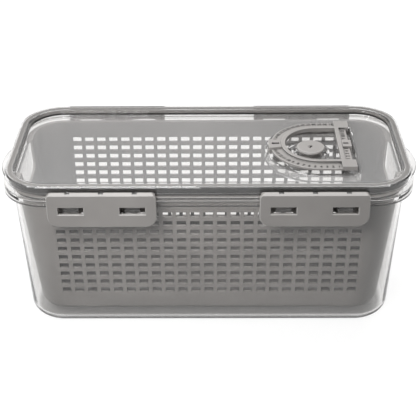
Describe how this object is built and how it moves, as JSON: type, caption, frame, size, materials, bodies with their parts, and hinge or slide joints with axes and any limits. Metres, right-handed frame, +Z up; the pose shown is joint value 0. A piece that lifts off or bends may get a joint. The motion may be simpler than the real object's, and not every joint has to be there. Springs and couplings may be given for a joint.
{
  "type": "produce keeper",
  "caption": "Clear rectangular food keeper with a grey slotted colander basket that lifts out, a sealed lid with side latches, a pull-up vent and a sliding date dial.",
  "frame": {"origin": "centre of the flat foot, on the surface that the keeper stands on", "axes": "+X along the keeper towards the vent, -Y to the front, +Z up"},
  "size_m": [0.319, 0.142, 0.128],
  "materials": {
    "clear_plastic": "clear, polished moulded plastic",
    "grey_plastic": "warm grey moulded plastic, satin",
    "grey_silicone": "grey silicone, matte"
  },
  "bodies": {
    "container": {"container": "clear_plastic"},
    "basket": {"basket": "grey_plastic"},
    "lid": {"lid": "clear_plastic", "lid_seal": "grey_silicone", "date_ring": "grey_plastic"},
    "latch_front_left": {"latch_front_left": "grey_plastic"},
    "latch_front_right": {"latch_front_right": "grey_plastic"},
    "latch_back_left": {"latch_back_left": "grey_plastic"},
    "latch_back_right": {"latch_back_right": "grey_plastic"},
    "day_slider": {"day_slider": "grey_plastic"},
    "month_slider": {"month_slider": "grey_plastic"},
    "vent": {"vent_button": "grey_plastic", "vent_seal": "grey_silicone", "vent_retainer": "grey_plastic"}
  },
  "joints": [
    {"name": "basket_lift", "type": "slide", "parent": "container", "child": "basket", "axis": [0, 0, 1], "range_m": [0, 0.12]},
    {"name": "lid_lift", "type": "slide", "parent": "basket", "child": "lid", "axis": [0, 0, 1], "range_m": [0, 0.1]},
    {"name": "latch_hinge_front_left", "type": "hinge", "parent": "lid", "child": "latch_front_left", "pos_m": [-0.0763, -0.068, 0.1227], "axis": [-1, 0, 0], "range_deg": [0, 110]},
    {"name": "latch_hinge_front_right", "type": "hinge", "parent": "lid", "child": "latch_front_right", "pos_m": [0.0763, -0.068, 0.1227], "axis": [-1, 0, 0], "range_deg": [0, 110]},
    {"name": "latch_hinge_back_left", "type": "hinge", "parent": "lid", "child": "latch_back_left", "pos_m": [-0.0763, 0.068, 0.1227], "axis": [1, 0, 0], "range_deg": [0, 110]},
    {"name": "latch_hinge_back_right", "type": "hinge", "parent": "lid", "child": "latch_back_right", "pos_m": [0.0763, 0.068, 0.1227], "axis": [1, 0, 0], "range_deg": [0, 110]},
    {"name": "day_slide", "type": "hinge", "parent": "lid", "child": "day_slider", "pos_m": [0.084, 0, 0.127], "axis": [0, 0, 1], "range_deg": [-78, 78]},
    {"name": "month_slide", "type": "slide", "parent": "lid", "child": "month_slider", "axis": [0, 1, 0], "range_m": [-0.0205, 0.0205]},
    {"name": "vent_pull", "type": "slide", "parent": "lid", "child": "vent", "axis": [0, 0, 1], "range_m": [0, 0.0035]}
  ]
}
